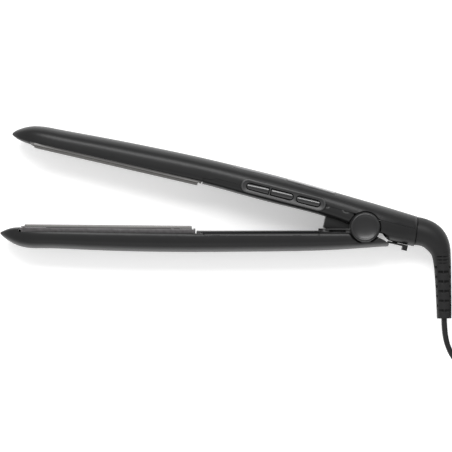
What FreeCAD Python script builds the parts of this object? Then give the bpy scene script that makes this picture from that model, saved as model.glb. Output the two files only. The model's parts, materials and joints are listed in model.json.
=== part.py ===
import FreeCAD, Part
import math
import os

os.makedirs("parts", exist_ok=True)
V = FreeCAD.Vector
X_AXIS = V(1, 0, 0)
Y_AXIS = V(0, 1, 0)
Z_AXIS = V(0, 0, 1)

# A flat iron on its side: +X to the cord, +Z across the arms, the hinge axis at X = Y = 0.
# Each arm is drawn in its own frame: x along the plate to the rear, y from the pivot to the arm's back.

# Arms
WIDTH = 32.0
MID = WIDTH / 2
HALF_WIDTH = MID - 0.1
WALL = 1.6
SECTION_POINTS = 32
UPPER_ANGLE = -12.96
LOWER_ANGLE = -0.57
SEAM_GAP = 0.15
HANDLE_FRONT = -111.0

# Heating plates
PLATE_LENGTH = 110.0
PLATE_WIDTH = 24.0
PLATE_THICK = 2.0
PLATE_FRONT = -224.0
PLATE_REAR = PLATE_FRONT + PLATE_LENGTH
PLATE_MIDDLE = (PLATE_FRONT + PLATE_REAR) / 2
FLOAT_TRAVEL = 0.6
UPPER_FACE = 2.4
LOWER_FACE = 0.14
UPPER_EDGE = 5.5
LOWER_EDGE = 5.2
HEATER_THICK = 3.0
TRAY_FLOOR = 8.8
TRAY_BACK = 10.0

# Pivot
PIN_RADIUS = 2.5
CAP_RADIUS = 9.6
CAP_TOP = 33.3
RING_RADIUS = 10.75
EAR_RADIUS = 10.2
EAR_INNER = 6.6
EAR_OUTER = 1.6
BLOCK_SIDE = 7.6

# Buttons, on the side of the handle
BEZEL_CENTRE = (-57.0, 8.7)
BEZEL_TILT = -1.6
BEZEL_LENGTH = 57.0
BEZEL_HEIGHT = 8.8
POCKET_SPANS = [(-25.2, 7.0), (8.6, 25.2)]
BUTTON_SPANS = {"button_minus": (-25.2, -9.5), "button_plus": (-8.7, 7.0), "button_power": (8.6, 25.2)}
BUTTON_HEIGHT = 5.0
BUTTON_GAP = 0.2
BOARD_TOP = 25.0
SWITCH_TOP = 27.0
STEM_END = 27.8
KEY_TOP = 32.4

# Swivel and cord
SWIVEL_CENTRE = V(34.3, -2.4, MID)
SWIVEL_ANGLE = -7.0
NECK_RADIUS = 6.0
NECK_LENGTH = 6.0
RELIEF_PITCH = 6.4
RELIEF_ROWS = 5
RELIEF_FIRST = -29.6
FINE_SLOTS = (-19.4, -21.6, -23.8)
CORD_DIAMETER = 5.0
CORD_RADIUS = CORD_DIAMETER / 2
COIL_CENTRE = V(112.0, -66.0, 0.8)
COIL_INNER = 27.4
COIL_OUTER = 39.0
COIL_HEIGHT = 15.8
PLUG_START = V(149.0, -30.0, 7.0)
PLUG_LENGTH = 36.0
PIN_SPACING = 19.0

# Sections along each arm: x, inner side, back, half width, and how round the section is
UPPER_OUTLINE = [
    (-240.6, 7.4, 9.0, 3.0, 0.0),
    (-238.5, 6.3, 11.2, 5.6, 0.0),
    (-235.0, 5.1, 13.5, 8.6, 0.0),
    (-230.0, 4.3, 15.8, 11.4, 0.0),
    (-223.0, 3.6, 17.4, 13.7, 0.0),
    (-211.0, 3.1, 18.1, 15.3, 0.0),
    (-190.0, 3.0, 19.0, HALF_WIDTH, 0.0),
    (-150.0, 3.2, 20.4, HALF_WIDTH, 0.0),
    (-108.0, 4.0, 21.0, HALF_WIDTH, 0.0),
    (-88.0, 3.2, 20.8, HALF_WIDTH, 0.0),
    (-56.0, 2.2, 20.1, HALF_WIDTH, 0.0),
    (-26.0, 1.3, 18.6, HALF_WIDTH, 0.05),
    (-8.0, -1.0, 17.6, HALF_WIDTH, 0.1),
    (8.0, -3.7, 16.7, 15.3, 0.3),
    (20.0, -4.8, 15.9, 13.4, 0.6),
    (31.0, -4.9, 15.1, 10.9, 0.95),
    (38.0, -4.6, 14.5, 9.6, 1.0),
]
LOWER_OUTLINE = [
    (-240.6, 5.4, 7.0, 3.0, 0.0),
    (-238.5, 4.5, 8.9, 5.6, 0.0),
    (-235.0, 3.1, 11.3, 8.6, 0.0),
    (-230.0, 2.2, 13.9, 11.4, 0.0),
    (-223.0, 2.4, 15.7, 13.7, 0.0),
    (-211.0, 2.8, 16.0, 15.3, 0.0),
    (-190.0, 3.0, 16.5, HALF_WIDTH, 0.0),
    (-150.0, 3.2, 17.5, HALF_WIDTH, 0.0),
    (-110.0, 3.2, 17.5, HALF_WIDTH, 0.0),
    (-70.0, 2.8, 16.8, HALF_WIDTH, 0.0),
    (-30.0, 2.4, 15.7, HALF_WIDTH, 0.0),
    (-6.0, 2.4, 14.2, 15.8, 0.0),
    (18.0, 2.4, 12.4, 14.6, 0.0),
]
# Where each handle shell meets its inner cover
UPPER_PARTING = [(-105.6, 7.7), (-102.6, 9.2), (-28.0, 8.0), (38.0, 5.8)]
LOWER_PARTING = [(-106.5, 4.8), (-105.0, 6.3), (-30.0, 5.6)]


def save(name, shape):
    if shape.isNull() or not shape.isValid():
        raise ValueError(name + " is not a valid solid")
    shape.exportStep("parts/" + name + ".step")
    solids = len(shape.Solids)
    print(f"{name:24s} solids {solids}  volume {shape.Volume / 1000:8.3f} cm3")


def box(x0, x1, y0, y1, z0, z1):
    return Part.makeBox(x1 - x0, y1 - y0, z1 - z0, V(x0, y0, z0))


def disc(radius, z0, z1, x=0.0, y=0.0):
    return Part.makeCylinder(radius, z1 - z0, V(x, y, z0), Z_AXIS)


def rod(radius, start, end):
    direction = end - start
    return Part.makeCylinder(radius, direction.Length, start, direction)


def prism(points, z0=-1.0, z1=WIDTH + 1.0):
    corners = [V(x, y, z0) for x, y in points]
    face = Part.Face(Part.makePolygon(corners + corners[:1]))
    return face.extrude(V(0, 0, z1 - z0))


def stadium(length, height, z0, z1):
    flat = length - height
    ends = [disc(height / 2, z0, z1, x) for x in (-flat / 2, flat / 2)]
    return box(-flat / 2, flat / 2, -height / 2, height / 2, z0, z1).fuse(ends).removeSplitter()


def signed_power(value, exponent):
    return math.copysign(abs(value) ** exponent, value)


def blend(arm_value, round_value, roundness):
    return arm_value + (round_value - arm_value) * roundness


def section_points(x, inner, back, half_width, roundness):
    """A closed outline: nearly flat on the inner side, softly domed on the back."""
    waist = inner + blend(0.42, 0.5, roundness) * (back - inner)
    points = []
    for step in range(SECTION_POINTS):
        angle = 2 * math.pi * step / SECTION_POINTS
        rise = math.sin(angle)
        power = blend(2.5, 2.0, roundness) if rise >= 0 else blend(4.5, 2.0, roundness)
        reach = back - waist if rise >= 0 else waist - inner
        y = waist + reach * signed_power(rise, 2 / power)
        z = MID + half_width * signed_power(math.cos(angle), 2 / power)
        points.append(V(x, y, z))
    return points


def spacing():
    """The same curve parameters for every section, so that lofts stay smooth."""
    points = section_points(0, 3.0, 20.0, HALF_WIDTH, 0.0)
    values = [0.0]
    for start, end in zip(points, points[1:] + points[:1]):
        values.append(values[-1] + (end - start).Length)
    return values


def arm_section(row):
    curve = Part.BSplineCurve()
    curve.interpolate(Points=section_points(*row), PeriodicFlag=True, Parameters=spacing())
    return Part.Wire([curve.toShape()])


def arm_body(outline, inset=0.0):
    rows = outline if inset <= 0.5 else outline[1:]
    wires = [arm_section((x, i + inset, b - inset, w - inset, r)) for x, i, b, w, r in rows]
    return Part.makeLoft(wires, True, False)


def both_sides(shape):
    return shape.fuse(shape.mirror(V(0, 0, MID), Z_AXIS))


def place_upper(shape):
    placed = shape.copy()
    placed.rotate(V(0, 0, 0), Z_AXIS, UPPER_ANGLE)
    return placed


def place_lower(shape):
    placed = shape.copy()
    placed.rotate(V(0, 0, MID), X_AXIS, 180)
    placed.rotate(V(0, 0, 0), Z_AXIS, LOWER_ANGLE)
    return placed


def cover_region(parting, end, gap):
    shifted = [(x, y + gap) for x, y in parting]
    return prism([(HANDLE_FRONT + 0.3 - gap, -20), (HANDLE_FRONT + 0.3 - gap, shifted[0][1])]
                 + shifted[:-1] + [(end + gap, shifted[-1][1]), (end + gap, -20)])


def screw_set(places, head_y):
    screws = []
    for x, z in places:
        head = Part.makeCylinder(2.3, 1.1, V(x, head_y, z), Y_AXIS)
        cross = box(x - 1.4, x + 1.4, head_y - 0.1, head_y + 0.6, z - 0.3, z + 0.3)
        other = box(x - 0.3, x + 0.3, head_y - 0.1, head_y + 0.6, z - 1.4, z + 1.4)
        shaft = Part.makeCylinder(1.2, 8.0, V(x, head_y + 1.1, z), Y_AXIS)
        screws.append(head.cut([cross, other]).fuse(shaft))
    return Part.makeCompound(screws)


def screw_holes(places, head_y):
    holes = []
    for x, z in places:
        holes.append(Part.makeCylinder(2.5, 6.0, V(x, head_y - 4.9, z), Y_AXIS))
        holes.append(Part.makeCylinder(1.2, 8.0, V(x, head_y + 1.1, z), Y_AXIS))
    return holes


def screw_bosses(places, start_y, body):
    bosses = [Part.makeCylinder(3.0, 20.0, V(x, start_y, z), Y_AXIS) for x, z in places]
    return [boss.common(body) for boss in bosses]


# ---- sub-parts that both arms have, in the arm's own frame ----

def plate(face):
    half = PLATE_WIDTH / 2
    slab = box(PLATE_FRONT, PLATE_REAR, face, face + PLATE_THICK, MID - half, MID + half)
    long_edges = [e for e in slab.Edges
                  if abs(e.BoundBox.YLength) < 0.01 and abs(e.BoundBox.YMin - face) < 0.01]
    slab = slab.makeFillet(0.7, long_edges)
    rails = [box(-210, -128, face + PLATE_THICK, face + PLATE_THICK + 2.0, z, z + 1.2)
             for z in (MID - 7.6, MID + 6.4)]
    return slab.fuse(rails)


def heater(face):
    base = face + PLATE_THICK
    return box(-206, -132, base, base + HEATER_THICK, MID - 6.2, MID + 6.2)


def sensor(face, x, length, radius):
    base = face + PLATE_THICK
    return Part.makeCylinder(radius, length, V(x, base + radius, MID), X_AXIS)


def plate_springs(face):
    top = face + PLATE_THICK + FLOAT_TRAVEL
    springs = []
    for x in (-216, -122):
        for z in (MID - 8.5, MID + 8.5):
            outer = Part.makeCylinder(1.8, TRAY_FLOOR - top, V(x, top, z), Y_AXIS)
            bore = Part.makeCylinder(1.2, TRAY_FLOOR - top, V(x, top, z), Y_AXIS)
            springs.append(outer.cut(bore))
    return Part.makeCompound(springs)


def plate_carrier(face, rim, floor):
    """The tray that guides the plate, with a comb of small teeth at each end."""
    front, rear = -227.6, HANDLE_FRONT + 0.1
    flange = box(front + 3.2, rear - 2.8, rim, floor, MID - 13.2, MID + 13.2)
    skirt = box(front + 1.2, rear - 1.0, floor, TRAY_BACK, MID - 11.4, MID + 11.4)
    ends = box(front + 1.2, rear - 1.0, rim + 0.3, floor, MID - 11.4, MID + 11.4)
    guide_depth = face + PLATE_THICK + FLOAT_TRAVEL + 0.1
    half = PLATE_WIDTH / 2 + 0.2
    guide = box(PLATE_FRONT - 0.2, PLATE_REAR + 0.2, rim - 1, guide_depth, MID - half, MID + half)
    well = box(-220.5, -117.5, rim - 1, TRAY_FLOOR, MID - 10.3, MID + 10.3)
    lead_slot = box(-128, -119.5, 0, TRAY_BACK + 1, MID - 4, MID + 4)
    teeth = []
    for x, height in ((front + 1.3, face + 1.2), (rear - 1.9, face + 1.7)):
        for index in range(8):
            z = MID - 10.6 + index * 2.8
            teeth.append(box(x, x + 1.1, height, floor, z, z + 1.6))
    return flange.fuse([skirt, ends]).cut([guide, well, lead_slot]).fuse(teeth).removeSplitter()


def carrier_pocket(edge):
    """What the plate carrier needs cut out of its housing."""
    window = box(-228.0, HANDLE_FRONT + 0.2, -6, edge, -1, WIDTH + 1)
    skirt = box(-226.5, HANDLE_FRONT - 0.8, 0, TRAY_BACK + 0.1, MID - 11.5, MID + 11.5)
    half = PLATE_WIDTH / 2 + 0.4
    plate_room = box(PLATE_FRONT - 0.5, PLATE_REAR + 0.5, 0, edge + 1.0, MID - half, MID + half)
    return [window, skirt, plate_room]


def leads():
    return Part.makeCompound([rod(0.8, V(-126, 11.2, z), V(-94, 12.0, z)) for z in (MID - 5, MID + 5)])


# ---- upper arm and handle ----

def seam_cut(shift=0.0):
    """Everything behind the handle's end face, square to the swivel axis."""
    block = Part.makeBox(40, 60, 60, V(shift, -30, -30))
    block.rotate(V(0, 0, 0), Z_AXIS, SWIVEL_ANGLE)
    block.translate(SWIVEL_CENTRE)
    return block


def swivel_cylinder(radius, start, end):
    cylinder = Part.makeCylinder(radius, end - start, V(start, 0, 0), X_AXIS)
    cylinder.rotate(V(0, 0, 0), Z_AXIS, SWIVEL_ANGLE)
    cylinder.translate(SWIVEL_CENTRE)
    return cylinder


def to_upper_frame(shape):
    local = shape.copy()
    local.rotate(V(0, 0, 0), Z_AXIS, -UPPER_ANGLE)
    return local


def bezel_frame(shape):
    placed = shape.copy()
    placed.rotate(V(0, 0, 0), Z_AXIS, BEZEL_TILT)
    placed.translate(V(BEZEL_CENTRE[0], BEZEL_CENTRE[1], 0))
    return placed


def pocket_shape(span, z0, z1, gap):
    pocket = stadium(span[1] - span[0] - 2 * gap, BUTTON_HEIGHT - 2 * gap, z0, z1)
    pocket.translate(V((span[0] + span[1]) / 2, 0, 0))
    return pocket


def key_shape(span, z0, z1, gap):
    """The stretch of its pocket that a key fills."""
    pocket = [whole for whole in POCKET_SPANS if whole[0] <= span[0] and span[1] <= whole[1]][0]
    return pocket_shape(pocket, z0, z1, gap).common(box(span[0] + gap, span[1] - gap, -9, 9, z0, z1))


def strip_box(x0, x1, gap=0.0):
    return box(x0 + gap, x1 - gap, 12, 30, MID - 10.4 + gap, MID + 10.4 - gap)


UPPER_SCREWS = [(-100.0, MID), (-64.0, MID)]
LOWER_SCREWS = [(-98.0, MID), (-44.0, MID)]
UPPER_HEAD = 4.6
LOWER_HEAD = 4.2
BADGE_SPAN = (-93.0, -57.0)
WINDOW_SPAN = (-56.6, -24.0)


def upper_shells():
    outer = arm_body(UPPER_OUTLINE)
    cavity = arm_body(UPPER_OUTLINE, WALL).cut(to_upper_frame(seam_cut(-4.0)))
    body = outer.cut(to_upper_frame(seam_cut()))
    shell = body.cut(cavity)
    neck_bore = to_upper_frame(swivel_cylinder(NECK_RADIUS + 0.2, -6.0, 1.0))
    ring = both_sides(disc(RING_RADIUS, EAR_OUTER - 4.0, BLOCK_SIDE + 0.3))
    throat = box(-27.4, 16.0, -16, 3.0, BLOCK_SIDE - 0.4, WIDTH - BLOCK_SIDE + 0.4)
    notch = prism([(5.0, -1.0), (13.6, -1.2), (18.0, -4.6), (18.0, -12.0), (0.0, -12.0)])
    bezel_hole = bezel_frame(stadium(BEZEL_LENGTH + 0.2, BEZEL_HEIGHT + 0.2, 27.5, 34))
    shell = shell.cut([neck_bore, ring, throat, notch, bezel_hole])

    bosses = screw_bosses(UPPER_SCREWS, 8.0, arm_body(UPPER_OUTLINE, 0.8))
    strips = [strip_box(*BADGE_SPAN), strip_box(*WINDOW_SPAN)]
    recess = Part.makeCompound(strips).cut(arm_body(UPPER_OUTLINE, 1.0))
    display_hole = box(-52.0, -28.0, 15, 30, MID - 7.0, MID + 7.0)
    cover_room = cover_region(UPPER_PARTING, 60, SEAM_GAP)
    housing = shell.fuse(bosses).cut(carrier_pocket(UPPER_EDGE) + [cover_room])
    housing = housing.cut([recess, display_hole] + screw_holes(UPPER_SCREWS, UPPER_HEAD))

    cover = shell.common(cover_region(UPPER_PARTING, 60, 0.0))
    lock_slot = box(20.2, 27.6, -8, 0, MID - 2.2, MID + 2.2)
    front_cover = cover.common(box(-120, -9, -20, 20, -2, 40))
    tubes = [Part.makeCylinder(3.0, 4.6, V(x, 3.4, z), Y_AXIS) for x, z in UPPER_SCREWS]
    front_cover = front_cover.fuse([t.common(arm_body(UPPER_OUTLINE, 0.4)) for t in tubes])
    front_cover = front_cover.cut(screw_holes(UPPER_SCREWS, UPPER_HEAD))
    rear_cover = cover.common(box(9, 60, -20, 20, -2, 40)).cut(lock_slot)
    save("upper_housing", place_upper(housing))
    save("upper_inner_cover", place_upper(front_cover))
    save("rear_cover", place_upper(rear_cover))


def back_strips():
    under = arm_body(UPPER_OUTLINE, 0.9)
    badge = arm_body(UPPER_OUTLINE, -0.1).common(strip_box(*BADGE_SPAN, gap=0.1)).cut(under)
    window = arm_body(UPPER_OUTLINE, -0.35).common(strip_box(*WINDOW_SPAN, gap=0.1)).cut(under)
    save("badge_trim", place_upper(badge))
    save("display_window", place_upper(window))
    module = box(-51.0, -29.0, 14.4, 17.0, MID - 6.4, MID + 6.4)
    save("display_module", place_upper(module))


def controls():
    bezel = stadium(BEZEL_LENGTH, BEZEL_HEIGHT, 29.6, 32.8)
    recess = stadium(BEZEL_LENGTH - 2.0, BEZEL_HEIGHT - 2.0, 31.7, 33.0)
    pockets = [key_shape(span, 29, 33, 0.0) for span in BUTTON_SPANS.values()]
    save("button_bezel", place_upper(bezel_frame(bezel.cut([recess] + pockets))))
    board = box(-86.0, -29.0, -3.6, 5.2, BOARD_TOP - 1.6, BOARD_TOP)
    board.translate(V(0, 8.7, 0))
    save("control_pcb", place_upper(board))
    switches = []
    for name, span in BUTTON_SPANS.items():
        centre = (span[0] + span[1]) / 2
        key = key_shape(span, STEM_END + 1.2, KEY_TOP, BUTTON_GAP)
        top = [e for e in key.Edges if abs(e.BoundBox.ZMin - KEY_TOP) < 0.01]
        key = key.makeChamfer(0.5, top).fuse(disc(1.4, STEM_END, STEM_END + 1.3, centre))
        save(name, place_upper(bezel_frame(key)))
        switches.append(bezel_frame(box(centre - 3, centre + 3, -3, 3, BOARD_TOP, SWITCH_TOP)))
    save("tactile_switches", place_upper(Part.makeCompound(switches)))


def pivot():
    block = prism([(-26.4, 5.0), (-26.2, -6.0), (-9.0, -8.6), (-4.0, -8.6), (-4.0, 5.0)],
                  BLOCK_SIDE, WIDTH - BLOCK_SIDE)
    block = block.fuse(disc(8.8, BLOCK_SIDE, WIDTH - BLOCK_SIDE))
    block = block.fuse(box(-24, 8, 2.5, 12, BLOCK_SIDE + 1, WIDTH - BLOCK_SIDE - 1)).removeSplitter()
    spring_room = disc(7.2, MID - 3.6, MID + 3.6)
    slot = box(-22, 0, -9, -1.0, MID - 3.6, MID + 3.6)
    pin_bore = disc(PIN_RADIUS, 0, WIDTH)
    screw_places = [(x, MID + side) for x in (-19.0, 4.0) for side in (-6.1, 6.1)]
    screws = [rod(1.2, V(x, 7.0, z), V(x, 14.0, z)) for x, z in screw_places]
    heads = [rod(1.9, V(x, 5.6, z), V(x, 7.0, z)) for x, z in screw_places]
    access = [rod(2.0, V(x, -20.0, z), V(x, 5.6, z)) for x, z in screw_places[:2]]
    save("hinge_block", place_upper(block.cut([spring_room, slot, pin_bore] + screws + heads + access)))
    fastened = [screw.fuse(head) for screw, head in zip(screws, heads)]
    save("hinge_block_screws", place_upper(Part.makeCompound(fastened)))
    save("hinge_pin", place_upper(disc(PIN_RADIUS, 1.4, WIDTH - 1.2)))

    coil = disc(6.4, MID - 3.3, MID + 3.3).cut(disc(4.6, MID - 3.3, MID + 3.3))
    save("opening_spring", place_upper(coil))

    washer = disc(6.5, EAR_INNER + 0.1, BLOCK_SIDE - 0.1).cut(disc(PIN_RADIUS, 0, WIDTH))
    far = washer.mirror(V(0, 0, MID), Z_AXIS)
    save("pivot_washers", place_upper(Part.makeCompound([washer, far])))

    near_cap = disc(CAP_RADIUS, WIDTH - EAR_OUTER + 0.3, CAP_TOP)
    near_cap = near_cap.makeFillet(0.7, [e for e in near_cap.Edges if abs(e.BoundBox.ZMin - CAP_TOP) < 0.01])
    dish_radius = 30.0
    dish = Part.makeSphere(dish_radius, V(0, 0, CAP_TOP - 1.2 + dish_radius))
    seat = disc(PIN_RADIUS, 0, WIDTH - 1.2)
    save("pivot_cap_near", near_cap.cut([dish, seat]))
    far_cap = disc(CAP_RADIUS, 0, EAR_OUTER - 0.3)
    far_cap = far_cap.makeChamfer(0.3, [e for e in far_cap.Edges if abs(e.BoundBox.ZMax) < 0.01])
    save("pivot_cap_far", far_cap)


def lock():
    slider = box(17.6, 31.0, -6.4, -5.15, MID - 5.0, MID + 5.0)
    tab = box(27.8, 31.0, -8.9, -6.4, MID - 5.0, MID + 5.0)
    stem = box(20.8, 24.0, -5.15, -2.4, MID - 1.9, MID + 1.9)
    head = box(20.2, 24.6, -2.9, -1.9, MID - 4.0, MID + 4.0)
    save("lock_slider", place_upper(slider.fuse([tab, stem, head]).removeSplitter()))


def upper_front():
    save("upper_plate_carrier", place_upper(plate_carrier(UPPER_FACE, UPPER_FACE + 1.7, UPPER_EDGE)))
    save("upper_plate", place_upper(plate(UPPER_FACE)))
    save("upper_heater", place_upper(heater(UPPER_FACE)))
    save("upper_thermistor", place_upper(sensor(UPPER_FACE, -126, 4, 0.9)))
    save("thermal_fuse", place_upper(sensor(UPPER_FACE, -218, 10, 1.3)))
    save("upper_plate_springs", place_upper(plate_springs(UPPER_FACE)))
    save("upper_leads", place_upper(leads()))
    save("upper_cover_screws", place_upper(screw_set(UPPER_SCREWS, UPPER_HEAD)))


# ---- lower arm ----

def lower_shells():
    outer = arm_body(LOWER_OUTLINE).cut(box(16.0, 40, -20, 40, -2, 40))
    cavity = arm_body(LOWER_OUTLINE, WALL)
    shell = outer.cut(cavity)
    tongue = box(-10.2, 10.2, 0, 20, EAR_OUTER, EAR_INNER).common(outer)
    ear = disc(EAR_RADIUS, EAR_OUTER, EAR_INNER).fuse(tongue)
    ledge = box(-29.6, -4.0, 1.0, 6.0, EAR_OUTER, EAR_INNER - 1.0)
    ledge_slot = box(-23.4, -12.5, 1.9, 3.3, 0, EAR_OUTER + 2.0)
    ears = both_sides(ear.fuse(ledge))
    cap_room = both_sides(disc(RING_RADIUS, -2, EAR_OUTER))
    throat = box(-29.6, 20, -5, 6.5, EAR_INNER, WIDTH - EAR_INNER)
    tail = prism([(7.0, -14), (7.0, 5.2), (9.4, 6.7), (12.7, 8.2), (16.0, 10.4), (20, 12.0), (20, -14)],
                 -2, WIDTH + 2).cut(disc(EAR_RADIUS, -2, WIDTH + 2))
    bosses = screw_bosses(LOWER_SCREWS, 7.0, arm_body(LOWER_OUTLINE, 0.8))
    cover_room = cover_region(LOWER_PARTING, -30, SEAM_GAP)
    housing = shell.fuse(bosses).cut(carrier_pocket(LOWER_EDGE) + [cover_room])
    housing = housing.cut([throat]).fuse(ears)
    bores = disc(PIN_RADIUS + 0.05, -2, WIDTH + 2)
    openings = [cap_room, tail, bores, both_sides(ledge_slot)]
    housing = housing.cut(openings + screw_holes(LOWER_SCREWS, LOWER_HEAD))
    cover = shell.common(cover_region(LOWER_PARTING, -30, 0.0))
    tubes = [Part.makeCylinder(3.0, 3.6, V(x, 3.4, z), Y_AXIS) for x, z in LOWER_SCREWS]
    cover = cover.fuse([t.common(arm_body(LOWER_OUTLINE, 0.4)) for t in tubes])
    cover = cover.cut(screw_holes(LOWER_SCREWS, LOWER_HEAD))
    save("lower_housing", place_lower(housing))
    save("lower_inner_cover", place_lower(cover))


def lower_front():
    save("lower_plate_carrier", place_lower(plate_carrier(LOWER_FACE, LOWER_FACE + 2.1, LOWER_EDGE)))
    save("lower_plate", place_lower(plate(LOWER_FACE)))
    save("lower_heater", place_lower(heater(LOWER_FACE)))
    save("lower_thermistor", place_lower(sensor(LOWER_FACE, -126, 4, 0.9)))
    save("lower_plate_springs", place_lower(plate_springs(LOWER_FACE)))
    save("lower_leads", place_lower(leads()))
    save("lower_cover_screws", place_lower(screw_set(LOWER_SCREWS, LOWER_HEAD)))


# ---- swivel, strain relief and cord ----

# Round sections of the elbow: centre x, centre y, radius, direction in degrees
ELBOW = [(34.3, -2.4, 9.4, -7), (40.6, -3.7, 9.1, -14), (45.2, -6.3, 8.8, -30), (49.6, -11.6, 7.8, -50),
         (51.5, -17.6, 6.5, -70)]
RELIEF = [(51.5, -17.6, 6.5, -70), (52.1, -24.0, 5.8, -84), (52.7, -35.8, 5.35, -88),
          (53.1, -48.0, 5.1, -88.5), (53.3, -60.3, 4.8, -89)]


def round_section(x, y, radius, degrees):
    ring = Part.Wire([Part.Circle(V(0, 0, 0), X_AXIS, radius).toShape()])
    ring.rotate(V(0, 0, 0), Z_AXIS, degrees)
    ring.translate(V(x, y, MID))
    return ring


def elbow():
    body = Part.makeLoft([round_section(*row) for row in ELBOW], True, False)
    neck = swivel_cylinder(NECK_RADIUS, -NECK_LENGTH, 0.5)
    flange = swivel_cylinder(7.2, -NECK_LENGTH, -NECK_LENGTH + 1.6)
    body = body.cut(swivel_cylinder(12.0, -1.0, 0.3))
    save("swivel_elbow", body.fuse([neck, flange]).removeSplitter())


def relief_slots(x, y, half, reach, depth):
    """A pair of short slots in both flat sides of the sleeve, with a web of its middle left between them."""
    slots = []
    for z0, z1 in ((MID + depth, MID + 8.0), (MID - 8.0, MID - depth)):
        slots.append(box(x - reach, x - 0.3, y - half, y + half, z0, z1))
        slots.append(box(x + 0.3, x + reach, y - half, y + half, z0, z1))
    return slots


def strain_relief():
    body = Part.makeLoft([round_section(*row) for row in RELIEF], True, False)
    cuts = []
    for y in FINE_SLOTS:
        cuts += relief_slots(51.9, y, 0.45, 3.6, 4.4)
    for row in range(RELIEF_ROWS):
        y = RELIEF_FIRST - row * RELIEF_PITCH
        x = 52.4 + 0.026 * (RELIEF_FIRST - y)
        cuts += relief_slots(x, y, 1.0, 3.5, 2.6)
        middle = y + RELIEF_PITCH / 2
        for x0, x1 in ((x + 3.7, x + 8.0), (x - 8.0, x - 3.7)):
            for z0, z1 in ((MID + 1.0, MID + 8.0), (MID - 8.0, MID - 1.0)):
                cuts.append(box(x0, x1, middle - 0.9, middle + 0.9, z0, z1))
    save("strain_relief", body.cut(cuts))


def tube_path(points):
    """Straight runs joined by tangent arcs, each as large as its two runs allow."""
    edges = []
    radii = []
    start = points[0]
    for before, corner, after in zip(points, points[1:], points[2:]):
        run_in, run_out = corner - before, after - corner
        shorter = min(run_in.Length, run_out.Length)
        turn = run_in.getAngle(run_out)
        cut = 0.45 * shorter
        radii.append(cut / math.tan(turn / 2))
        way_in, way_out = V(run_in).normalize(), V(run_out).normalize()
        first, last = corner - way_in * cut, corner + way_out * cut
        bisector = (way_out - way_in).normalize()
        middle = corner + bisector * (radii[-1] / math.cos(turn / 2) - radii[-1])
        edges.append(Part.LineSegment(start, first).toShape())
        edges.append(Part.Arc(first, middle, last).toShape())
        start = last
    edges.append(Part.LineSegment(start, points[-1]).toShape())
    return Part.Wire(edges), radii


# The free cord: out of the strain relief, down to the surface and round to the coil
CORD_ROUTE = [V(53.3, -60.35, MID), V(53.5, -71.0, 15.9), V(57.2, -83.0, 14.2), V(66.0, -93.0, 10.6),
              V(78.5, -99.5, 6.4), V(92.0, -102.0, 3.6), V(105.0, -101.6, 3.3)]
TAIL_ROUTE = [V(148.2, -66.0, 14.0), V(148.4, -55.0, 12.6), V(148.9, -42.0, 7.3), PLUG_START - V(0, 0.05, 0)]


def tube(name, route):
    path, radii = tube_path(route)
    section = Part.Wire([Part.Circle(route[0], route[1] - route[0], CORD_RADIUS).toShape()])
    solid = path.makePipeShell([section], True, True)
    expected = math.pi * CORD_RADIUS ** 2 * path.Length
    print(name, "radii", [round(radius, 1) for radius in radii], "length", round(path.Length, 1))
    print(name, "volume", round(solid.Volume, 1), "section times length", round(expected, 1))
    save(name, solid)


def coil():
    ring = Part.makeCylinder(COIL_OUTER, COIL_HEIGHT, COIL_CENTRE, Z_AXIS)
    ring = ring.cut(Part.makeCylinder(COIL_INNER, COIL_HEIGHT, COIL_CENTRE, Z_AXIS))
    ring = ring.makeFillet(3.0, [e for e in ring.Edges if isinstance(e.Curve, Part.Circle)])
    save("cord_coil", ring)
    x, y = COIL_CENTRE.x, COIL_CENTRE.y
    band = box(x - 4, x + 4, y + COIL_INNER - 0.8, y + COIL_OUTER + 0.8, 0.0, COIL_HEIGHT + 1.6)
    upright = [e for e in band.Edges if abs(e.BoundBox.XLength - 8) < 0.01]
    save("cord_tie", band.makeFillet(3.6, upright).cut(ring))


def plug():
    """A two-pin Europlug, lying flat, with its pins towards +Y."""
    x, y, z = PLUG_START
    sections = [(0.0, 4.0, 4.0), (6.0, 4.6, 4.4), (12.0, 9.0, 6.0), (20.0, 15.0, 6.8),
                (PLUG_LENGTH, 17.4, 6.9)]
    wires = []
    for along, half_width, half_height in sections:
        points = []
        for step in range(16):
            angle = 2 * math.pi * step / 16
            across = half_width * signed_power(math.cos(angle), 0.6)
            up = half_height * signed_power(math.sin(angle), 0.6)
            points.append(V(x + across, y + along, z + up))
        curve = Part.BSplineCurve()
        curve.interpolate(Points=points, PeriodicFlag=True, Parameters=list(range(17)))
        wires.append(Part.Wire([curve.toShape()]))
    save("plug_body", Part.makeLoft(wires, True, False))
    face = y + PLUG_LENGTH
    pins = [rod(2.0, V(x + side, face, z), V(x + side, face + 19.0, z))
            for side in (-PIN_SPACING / 2, PIN_SPACING / 2)]
    save("plug_pins", Part.makeCompound(pins))


def cords():
    tube("cord", CORD_ROUTE)
    tube("cord_tail", TAIL_ROUTE)
    coil()
    plug()


part_steps = [upper_shells, back_strips, controls, pivot, lock, upper_front, lower_shells, lower_front,
              elbow, strain_relief, cords]
for step in part_steps:
    step()
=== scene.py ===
import json
import math

import bmesh
import bpy
from mathutils import Matrix, Vector


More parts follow.
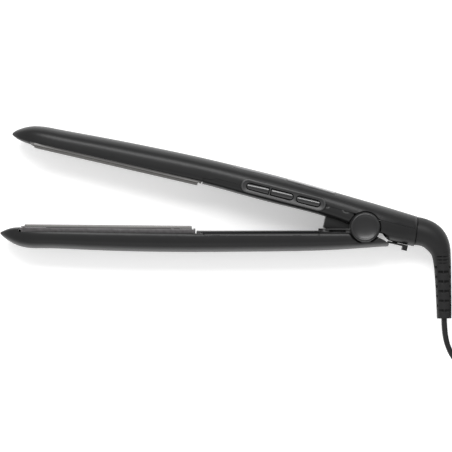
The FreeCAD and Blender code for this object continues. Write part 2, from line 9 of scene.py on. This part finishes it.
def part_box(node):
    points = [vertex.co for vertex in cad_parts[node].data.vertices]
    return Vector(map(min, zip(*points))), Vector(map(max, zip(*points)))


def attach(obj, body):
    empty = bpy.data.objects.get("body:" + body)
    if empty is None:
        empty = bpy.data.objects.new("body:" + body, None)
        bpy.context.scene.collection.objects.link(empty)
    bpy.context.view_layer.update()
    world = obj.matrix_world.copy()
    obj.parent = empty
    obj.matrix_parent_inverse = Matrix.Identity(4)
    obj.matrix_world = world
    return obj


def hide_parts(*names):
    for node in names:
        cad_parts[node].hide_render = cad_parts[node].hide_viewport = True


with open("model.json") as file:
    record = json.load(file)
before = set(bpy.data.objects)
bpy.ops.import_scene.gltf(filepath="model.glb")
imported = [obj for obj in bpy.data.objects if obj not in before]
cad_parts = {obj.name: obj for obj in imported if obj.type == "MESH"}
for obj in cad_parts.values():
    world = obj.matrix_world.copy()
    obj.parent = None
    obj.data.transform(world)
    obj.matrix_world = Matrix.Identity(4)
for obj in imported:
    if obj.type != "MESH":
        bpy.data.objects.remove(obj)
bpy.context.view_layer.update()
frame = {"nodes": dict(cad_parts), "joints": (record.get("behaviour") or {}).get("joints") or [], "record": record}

scene = bpy.context.scene
nodes = frame["nodes"]
mm = 0.001
middle = 0.016      # height of the iron's middle plane above the floor
weld = 0.000002     # vertices closer than this are one


# materials: numbers and sockets can be mixed in one expression

class Wire:
    def __init__(self, tree, socket):
        self.tree = tree
        self.socket = socket

    def maths(self, operation, first, second=None):
        values = [first] if second is None else [first, second]
        return self.make("ShaderNodeMath", {"operation": operation}, dict(enumerate(values)))

    def make(self, kind, settings=None, inputs=None, output=0):
        node = self.tree.nodes.new(kind)
        for name, value in (settings or {}).items():
            if name == "stops":
                for index, (place, shade) in enumerate(value):
                    ramp = node.color_ramp.elements
                    stop = ramp[index] if index < len(ramp) else ramp.new(place)
                    stop.position, stop.color = place, (shade, shade, shade, 1)
            else:
                setattr(node, name, value)
        for name, value in (inputs or {}).items():
            if isinstance(value, Wire):
                self.tree.links.new(value.socket, node.inputs[name])
            else:
                node.inputs[name].default_value = value
        return Wire(self.tree, node.outputs[output])

    def __add__(self, other):
        return self.maths("ADD", self, other)

    def __radd__(self, other):
        return self.maths("ADD", other, self)

    def __sub__(self, other):
        return self.maths("SUBTRACT", self, other)

    def __rsub__(self, other):
        return self.maths("SUBTRACT", other, self)

    def __mul__(self, other):
        return self.maths("MULTIPLY", self, other)

    def __rmul__(self, other):
        return self.maths("MULTIPLY", other, self)


def newMaterial(name, **constants):
    material = bpy.data.materials.new(name)
    material.use_nodes = True
    tree = material.node_tree
    shader = tree.nodes["Principled BSDF"]
    for label, value in constants.items():
        shader.inputs[label.replace("_", " ")].default_value = value
    coords = Wire(tree, None).make("ShaderNodeTexCoord", output="Object")
    return material, shader, coords


def feed(shader, label, wire):
    wire.tree.links.new(wire.socket, shader.inputs[label])


def noise(coords, scale, detail=3.0, stretch=(1, 1, 1)):
    if stretch != (1, 1, 1):
        coords = coords.make("ShaderNodeMapping", inputs={"Vector": coords, "Scale": stretch})
    return coords.make("ShaderNodeTexNoise", inputs={"Vector": coords, "Scale": scale, "Detail": detail})


def bump(shader, height, strength, distance):
    feed(shader, "Normal", height.make("ShaderNodeBump", inputs={
        "Height": height, "Strength": strength, "Distance": distance}))


def shades(dark, light, amount):
    return amount.make("ShaderNodeMix", {"data_type": "RGBA"}, {0: amount, 6: (*dark, 1), 7: (*light, 1)}, 2)


def mouldedPlastic(name, dark, light, roughness, grain=2200, depth=0.00002, strength=0.25, shine=0.5):
    material, shader, coords = newMaterial(name, IOR=1.47, Specular_IOR_Level=shine)
    feed(shader, "Base Color", shades(dark, light, noise(coords, 60, 4)))
    feed(shader, "Roughness", roughness + 0.06 * noise(coords, 300) - 0.03)
    bump(shader, noise(coords, grain, 2), strength, depth)
    return material


def glossPlastic(name, colour, roughness=0.1, coat=0.5):
    material, shader, coords = newMaterial(name, Coat_Weight=coat, Coat_Roughness=0.05, IOR=1.5)
    shader.inputs["Base Color"].default_value = (*colour, 1)
    feed(shader, "Roughness", roughness + 0.08 * noise(coords, 500, 5))
    bump(shader, noise(coords, 180, 1), 0.03, 0.0001)
    return material


def metal(name, dark, light, roughness, stretch=(1, 1, 1), grain=1500, metallic=1.0):
    material, shader, coords = newMaterial(name, Metallic=metallic)
    streaks = noise(coords, grain, 3, stretch)
    feed(shader, "Base Color", shades(dark, light, streaks))
    feed(shader, "Roughness", roughness + 0.12 * streaks - 0.06)
    bump(shader, streaks, 0.15, 0.00001)
    return material


finish = {
    "black_matte": mouldedPlastic("satinBlack", (0.0075, 0.0075, 0.0078),
                                   (0.0105, 0.0105, 0.0108), 0.36, shine=0.32),
    "black_gloss": glossPlastic("pianoBlack", (0.004, 0.004, 0.0045), 0.16),
    "grey_trim": mouldedPlastic("satinGrey", (0.085, 0.085, 0.087), (0.105, 0.105, 0.107), 0.38),
    "grey_lens": glossPlastic("greyLens", (0.09, 0.09, 0.092), 0.14),
    "coated_aluminium": metal("coatedPlate", (0.26, 0.25, 0.24), (0.34, 0.33, 0.315), 0.34,
                              (1, 30, 30), 60, 0.85),
    "heat_resistant_plastic": mouldedPlastic("heatBlack", (0.012, 0.012, 0.012),
                                              (0.018, 0.017, 0.017), 0.55),
    "black_rubber": mouldedPlastic("softBlack", (0.008, 0.008, 0.0083), (0.012, 0.012, 0.0123), 0.46, 1600,
                                   shine=0.3),
    "plated_brass": metal("nickel", (0.62, 0.60, 0.55), (0.72, 0.70, 0.66), 0.22),
    "steel": metal("zincSteel", (0.42, 0.42, 0.43), (0.55, 0.55, 0.56), 0.32),
    "circuit_board": mouldedPlastic("solderMask", (0.01, 0.09, 0.04), (0.02, 0.14, 0.06), 0.3, 900),
    "electronic_parts": mouldedPlastic("componentBody", (0.02, 0.02, 0.02), (0.05, 0.05, 0.05), 0.45),
    "heater_film": mouldedPlastic("amberFilm", (0.30, 0.13, 0.02), (0.42, 0.20, 0.04), 0.25, 500),
    "lead_insulation": mouldedPlastic("glassSleeve", (0.42, 0.41, 0.38), (0.55, 0.54, 0.50), 0.7, 1200),
}
# pieces given a colour apart from the rest of their slot: the upper arm's carrier pale and its plate dark, the
# lower arm's carrier dark and its plate pale
ownFinish = {
    "upper_plate_carrier": mouldedPlastic("paleCarrier", (0.18, 0.176, 0.172), (0.225, 0.22, 0.216), 0.42,
                                          700, 0.00004),
    "lower_plate_carrier": metal("darkMottledCarrier", (0.045, 0.042, 0.044), (0.13, 0.125, 0.127), 0.4,
                                 (1, 1, 4), 420, 0.6),
    "button_bezel": mouldedPlastic("bezelBlack", (0.018, 0.018, 0.0185), (0.026, 0.026, 0.0265), 0.3, shine=0.6),
    "pivot_cap_near": glossPlastic("capBlack", (0.004, 0.004, 0.0045), 0.3, 0.06),
    "upper_plate": metal("darkPlate", (0.115, 0.112, 0.108), (0.16, 0.156, 0.15), 0.36, (1, 30, 30), 60, 0.7),
    "lower_plate": metal("palePlate", (0.20, 0.196, 0.19), (0.26, 0.255, 0.248), 0.34, (1, 30, 30), 60, 0.75),
}


def finishOf(node, slot):
    return ownFinish.get(node, finish[slot])


for part in frame["record"]["subparts"]:
    node = nodes[part["node"]]
    node.data.materials.clear()
    node.data.materials.append(finishOf(part["node"], part["material_slot"]))
print("materials:", len(finish))


def dress(piece, body, slot, *replaced):
    piece.data.materials.clear()
    piece.data.materials.append(finishOf(replaced[0] if replaced else "", slot))
    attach(piece, body)
    if replaced:
        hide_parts(*replaced)
    return piece


bodyOf = {}
for body, members in frame["record"]["behaviour"]["bodies"].items():
    for member in members:
        bodyOf[member] = body
slotOf = {part["node"]: part["material_slot"] for part in frame["record"]["subparts"]}


def asObject(name, bm, smoothAngle=35):
    mesh = bpy.data.meshes.new(name)
    bm.to_mesh(mesh)
    bm.free()
    piece = bpy.data.objects.new(name, mesh)
    scene.collection.objects.link(piece)
    mesh.shade_smooth()
    mesh.set_sharp_from_angle(angle=math.radians(smoothAngle))
    return piece


def middleOf(node):
    low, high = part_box(node)
    return (low + high) / 2


def merged(node, round, segments=2, sharp=28, flat=0.8):
    # a merged copy of a part, with its hard edges rounded
    bm = bmesh.new()
    bm.from_mesh(nodes[node].data)
    bmesh.ops.remove_doubles(bm, verts=bm.verts, dist=weld)
    if round:
        bmesh.ops.dissolve_limit(bm, angle_limit=math.radians(flat), verts=bm.verts, edges=bm.edges)
        hard = [e for e in bm.edges if len(e.link_faces) == 2 and e.calc_face_angle() > math.radians(sharp)]
        bmesh.ops.bevel(bm, geom=hard, offset=round, offset_type="OFFSET", segments=segments, profile=0.5,
                        affect="EDGES", clamp_overlap=True, material=-1)
    return bm


def softened(node, round):
    return dress(asObject(node + "_finished", merged(node, round), 40), bodyOf[node], slotOf[node], node)


# camera, straight above the iron as it lies on its side

view = {"centre": (-0.0913, 0.0009), "width": 0.2997, "lens": 200.0, "sensor": 36.0}
cameraData = bpy.data.cameras.new("camera")
cameraData.lens = view["lens"]
cameraData.sensor_width = view["sensor"]
cameraData.clip_end = 20
camera = bpy.data.objects.new("camera", cameraData)
camera.location = (*view["centre"], middle + view["width"] * view["lens"] / view["sensor"])
scene.collection.objects.link(camera)
scene.camera = camera

# the cord: flat twin flex, out of the strain relief and round into its tied coil

flex = {"width": 0.0054, "thick": 0.0038, "length": 1.8}
coil = {"centre": Vector((0.112, -0.066)), "outer": 0.0362, "inner": 0.0304, "bottom": 0.0028, "layer": 0.0039,
        "turns": 8, "perTurn": 24, "start": -101.0, "extra": 101.0}
route = [(53.3, -60.35, 16.0), (53.5, -71.0, 15.9), (57.2, -83.0, 14.2), (66.0, -93.0, 10.6),
         (78.5, -99.5, 6.4), (92.0, -102.0, 3.6), (105.0, -101.6, 3.3)]
tail = [(148.2, -66.0, 14.0), (148.4, -55.0, 12.6), (148.9, -42.0, 7.3), (149.0, -30.05, 7.0)]


def easeStep(value):
    value = min(max(value, 0.0), 1.0)
    return value * value * (3 - 2 * value)


def coilPoints():
    sweep = 360 * coil["turns"] + coil["extra"]
    steps = round(sweep / 360 * coil["perTurn"])
    points = []
    for step in range(1, steps):
        share = step / steps * coil["turns"]
        turn, within = int(share), share - int(share)
        blend = easeStep((within - 0.88) / 0.12)
        # two turns to a layer: out then in, and up to the next layer after each pair
        place = [((t + 1) // 2 % 2, t // 2) for t in (turn, min(turn + 1, coil["turns"] - 1))]
        inward = place[0][0] + (place[1][0] - place[0][0]) * blend
        level = place[0][1] + (place[1][1] - place[0][1]) * blend
        radius = coil["outer"] + (coil["inner"] - coil["outer"]) * inward
        angle = math.radians(coil["start"] + sweep * step / steps)
        across = coil["centre"] + Vector((math.cos(angle), math.sin(angle))) * radius
        points.append((across.x, across.y, coil["bottom"] + coil["layer"] * level))
    return points


def smoothLine(name, points):
    curve = bpy.data.curves.new(name, "CURVE")
    curve.dimensions = "3D"
    curve.resolution_u = 5
    spline = curve.splines.new("NURBS")
    spline.points.add(len(points) - 1)
    for point, place in zip(spline.points, points):
        point.co = (*place, 1)
    spline.order_u = 3
    spline.use_endpoint_u = True
    holder = bpy.data.objects.new(name, curve)
    mesh = bpy.data.meshes.new_from_object(holder)
    line = [vertex.co.copy() for vertex in mesh.vertices]
    bpy.data.objects.remove(holder)
    return line


def flexSection(sides=20):
    # a flat oval with a shallow groove along the middle of each face
    outline = []
    for side in range(sides):
        angle = 2 * math.pi * side / sides
        across = math.cos(angle)
        groove = 1 - 0.16 * math.exp(-(across / 0.22) ** 2)
        wide = flex["width"] / 2 * math.copysign(abs(across) ** 0.8, across)
        high = flex["thick"] / 2 * math.copysign(abs(math.sin(angle)) ** 0.7, math.sin(angle)) * groove
        outline.append((wide, high))
    return outline


def makeCord():
    points = [tuple(value * mm for value in place) for place in route]
    points += coilPoints()
    points += [tuple(value * mm for value in place) for place in tail]
    line = smoothLine("cordLine", points)
    outline = flexSection()
    bm = bmesh.new()
    rings = []
    travelled = 0.0
    for index, place in enumerate(line):
        before, after = line[max(index - 1, 0)], line[min(index + 1, len(line) - 1)]
        along = (after - before).normalized()
        if index:
            travelled += (place - line[index - 1]).length
        # the wide side stands up at the exit and lies flat on the floor
        level = along.cross(Vector((0, 0, 1))).normalized()
        upright = level.cross(along).normalized()
        twist = math.radians(90) * (1 - easeStep((travelled - 0.012) / 0.055))
        wide = level * math.cos(twist) + upright * math.sin(twist)
        high = along.cross(wide)
        rings.append([bm.verts.new(place + wide * w + high * h) for w, h in outline])
    for first, second in zip(rings, rings[1:]):
        for side in range(len(outline)):
            after = (side + 1) % len(outline)
            bm.faces.new((first[side], first[after], second[after], second[side]))
    bm.faces.new(rings[0])
    bm.faces.new(list(reversed(rings[-1])))
    bmesh.ops.recalc_face_normals(bm, faces=bm.faces)
    piece = asObject("flatCord", bm, 60)
    dress(piece, "swivel", "black_rubber", "cord", "cord_tail", "cord_coil")
    return line


# edges of moulded and pressed parts

edgeRound = {
    "button_bezel": 0.00025, "upper_plate": 0.0002, "lower_plate": 0.0002, "upper_plate_carrier": 0.00015,
    "lower_plate_carrier": 0.00015, "lock_slider": 0.0003, "hinge_block": 0.00025, "strain_relief": 0.0002,
    "cord_tie": 0.0003, "pivot_cap_far": 0.0001, "pivot_washers": 0.0001, "display_module": 0.0002,
    "tactile_switches": 0.00015, "control_pcb": 0.0001, "upper_heater": 0.0003, "lower_heater": 0.0003,
    "upper_cover_screws": 0.00008, "lower_cover_screws": 0.00008, "hinge_block_screws": 0.0001,
    "plug_body": 0.0004, "plug_pins": 0.0004, "hinge_pin": 0.0004,
    "upper_housing": 0, "lower_housing": 0, "upper_inner_cover": 0, "lower_inner_cover": 0, "rear_cover": 0,
    "badge_trim": 0, "display_window": 0, "swivel_elbow": 0,
}
finished = {node: softened(node, width) for node, width in edgeRound.items()}
print("softened parts:", len(edgeRound))

cordLine = makeCord()
print("cord points:", len(cordLine))


# the dished cap on the hinge

def makeCap():
    low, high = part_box("pivot_cap_near")
    radius, base, top = high[0] * 1000, low[2] * 1000, high[2] * 1000
    profile = [(0, top - 1.30), (2.5, top - 1.24), (4.8, top - 1.02), (6.6, top - 0.66), (7.6, top - 0.34),
               (8.1, top - 0.06), (8.45, top), (8.9, top - 0.05), (9.3, top - 0.28), (radius, top - 0.7),
               (radius, base + 0.2), (radius - 0.2, base), (0, base)]
    bm = bmesh.new()
    corners = [bm.verts.new((r * mm, 0, z * mm)) for r, z in profile]
    rim = [bm.edges.new(pair) for pair in zip(corners, corners[1:])]
    bmesh.ops.spin(bm, geom=corners + rim, cent=(0, 0, 0), axis=(0, 0, 1), angle=math.tau, steps=96,
                   use_merge=True)
    bmesh.ops.remove_doubles(bm, verts=bm.verts, dist=weld)
    bmesh.ops.recalc_face_normals(bm, faces=bm.faces)
    return dress(asObject("dishedCap", bm, 50), bodyOf["pivot_cap_near"], "black_gloss", "pivot_cap_near")


makeCap()


# a fine raised line round the button panel, in line with the keys; its lighter grey is a painted highlight along
# the rim

def makeRim(wire=0.00032, sides=28):
    low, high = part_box("button_bezel")
    centre = (low + high) / 2
    tilt = (middleOf("button_power") - middleOf("button_minus")).normalized()
    across = Vector((0, 0, 1)).cross(tilt)
    width = high.x - low.x
    depth = high.y - low.y
    # a stadium seen at an angle fills this much of its box
    round = (depth - width * abs(tilt.y) / tilt.x) / (2 * (1 - abs(tilt.y) / tilt.x))
    half = (width / 2 - round) / tilt.x
    reach = round - 0.0006
    curve = bpy.data.curves.new("panelRim", "CURVE")
    curve.dimensions = "3D"
    curve.bevel_depth = wire
    curve.bevel_resolution = 2
    spline = curve.splines.new("POLY")
    spline.points.add(2 * sides - 1)
    spline.use_cyclic_u = True
    for index, point in enumerate(spline.points):
        end = 1 if index < sides else -1
        angle = math.pi * ((index % sides) / (sides - 1) - 0.5)
        out = tilt * (half + math.cos(angle) * reach) * end + across * math.sin(angle) * reach * end
        point.co = (*(centre.xy + out.xy), high.z - 0.00012, 1)
    holder = bpy.data.objects.new("panelRim", curve)
    mesh = bpy.data.meshes.new_from_object(holder)
    bpy.data.objects.remove(holder)
    bm = bmesh.new()
    bm.from_mesh(mesh)
    piece = asObject("panelRim", bm, 60)
    dress(piece, bodyOf["button_bezel"], "black_gloss")
    piece.data.materials[0] = rimHighlightFinish
    return piece


# lighter grey than the black panel: a painted highlight along the raised rim
rimHighlightFinish = mouldedPlastic("rimHighlightGrey", (0.05, 0.05, 0.051), (0.065, 0.065, 0.066), 0.3)
makeRim()


# keys: crowned along their length

def makeKey(node, round=0.0004, crown=0.001, cuts=11, crownDepth=0.00085):
    centre = middleOf(node)
    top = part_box(node)[1].z
    bm = merged(node, round, 3)
    reach = max(abs((v.co - centre).dot(armAcross)) for v in bm.verts)
    for cut in range(1, cuts + 1):
        place = centre + armAcross * reach * (2 * cut / (cuts + 1) - 1)
        bmesh.ops.bisect_plane(bm, geom=bm.verts[:] + bm.edges[:] + bm.faces[:], plane_co=place,
                               plane_no=armAcross)
    for vertex in bm.verts:
        if vertex.co.z > top - crownDepth:
            away = (vertex.co - centre).dot(armAcross) / reach
            vertex.co.z -= crown * away * away
    return dress(asObject(node + "Crowned", bm, 50), bodyOf[node], slotOf[node], node)


armAlong = next(Vector(joint["axis"]) for joint in frame["joints"] if joint["name"] == "lock_slide")
armAcross = Vector((0, 0, 1)).cross(armAlong)
for node in ("button_minus", "button_plus", "button_power"):
    makeKey(node)


# wire springs in place of their plain tubes

def wireSpring(name, centre, axis, length, radius, wire, turns, steps=18):
    curve = bpy.data.curves.new(name, "CURVE")
    curve.dimensions = "3D"
    curve.bevel_depth = wire / 2
    curve.bevel_resolution = 2
    spline = curve.splines.new("POLY")
    total = int(turns * steps)
    spline.points.add(total)
    turnTo = axis.to_track_quat("Z", "Y")
    for index, point in enumerate(spline.points):
        angle = math.tau * index / steps
        along = -length / 2 + wire / 2 + (length - wire) * index / total
        place = centre + turnTo @ Vector((math.cos(angle) * radius, math.sin(angle) * radius, along))
        point.co = (*place, 1)
    holder = bpy.data.objects.new(name, curve)
    mesh = bpy.data.meshes.new_from_object(holder)
    bpy.data.objects.remove(holder)
    bm = bmesh.new()
    bm.from_mesh(mesh)
    return asObject(name, bm, 60)


openingSpring = {"length": 0.0066, "radius": 0.0055, "wire": 0.0014, "turns": 4.7}
springSet = {"wire": 0.0007, "radius": 0.0015, "turns": 5, "along": (-0.216, -0.122), "across": 0.0085,
             "floor": 0.0088, "faces": {"upper": 0.0050, "lower": 0.00274}}


def makeSprings():
    opening = wireSpring("openingCoil", Vector((0, 0, middle)), Vector((0, 0, 1)), **openingSpring)
    dress(opening, bodyOf["opening_spring"], "steel", "opening_spring")
    for joint in frame["joints"]:
        arm = joint["name"].split("_")[0]
        if arm not in springSet["faces"] or joint["type"] != "slide":
            continue
        out = Vector(joint["axis"])
        along = out.cross(Vector((0, 0, 1)))
        along *= math.copysign(1, along.x)
        top, bottom = springSet["faces"][arm], springSet["floor"]
        coils = []
        for x in springSet["along"]:
            for side in (-1, 1):
                centre = along * x + out * (top + bottom) / 2 + Vector((0, 0, middle + side * springSet["across"]))
                coils.append(wireSpring(f"{arm}Spring{len(coils)}", centre, out, bottom - top,
                                        springSet["radius"], springSet["wire"], springSet["turns"], 10))
        node = arm + "_plate_springs"
        for spring in coils[1:]:
            dress(spring, bodyOf[node], "steel")
        dress(coils[0], bodyOf[node], "steel", node)


makeSprings()


# floor and studio light

floorData = bmesh.new()
bmesh.ops.create_grid(floorData, x_segments=1, y_segments=1, size=3.0)
floor = asObject("floor", floorData)
floorMaterial, floorShader, floorCoords = newMaterial("paleFloor", Roughness=0.9, Specular_IOR_Level=0.1,
                                                      Emission_Strength=0.34)
floorShader.inputs["Emission Color"].default_value = (1, 1, 1, 1)
feed(floorShader, "Base Color", shades((0.90, 0.90, 0.90), (0.915, 0.915, 0.915), noise(floorCoords, 3)))
floor.data.materials.append(floorMaterial)

lamps = {
    "keySoftbox": {"place": (-0.10, 0.60, 0.95), "size": (1.0, 0.35), "power": 9.0},
    "fillSoftbox": {"place": (-0.10, -0.90, 0.70), "size": (1.2, 0.8), "power": 1.6},
}
aim = Vector((-0.09, 0.0, 0.0))
for name, lamp in lamps.items():
    light = bpy.data.lights.new(name, "AREA")
    light.shape = "RECTANGLE"
    light.size, light.size_y = lamp["size"]
    light.energy = lamp["power"]
    holder = bpy.data.objects.new(name, light)
    holder.location = lamp["place"]
    holder.rotation_euler = (aim - holder.location).to_track_quat("-Z", "Y").to_euler()
    scene.collection.objects.link(holder)

world = bpy.data.worlds.new("studio")
world.use_nodes = True
world.node_tree.nodes["Background"].inputs["Color"].default_value = (1, 1, 1, 1)
world.node_tree.nodes["Background"].inputs["Strength"].default_value = 0.72
scene.world = world
scene.view_settings.view_transform = "Standard"
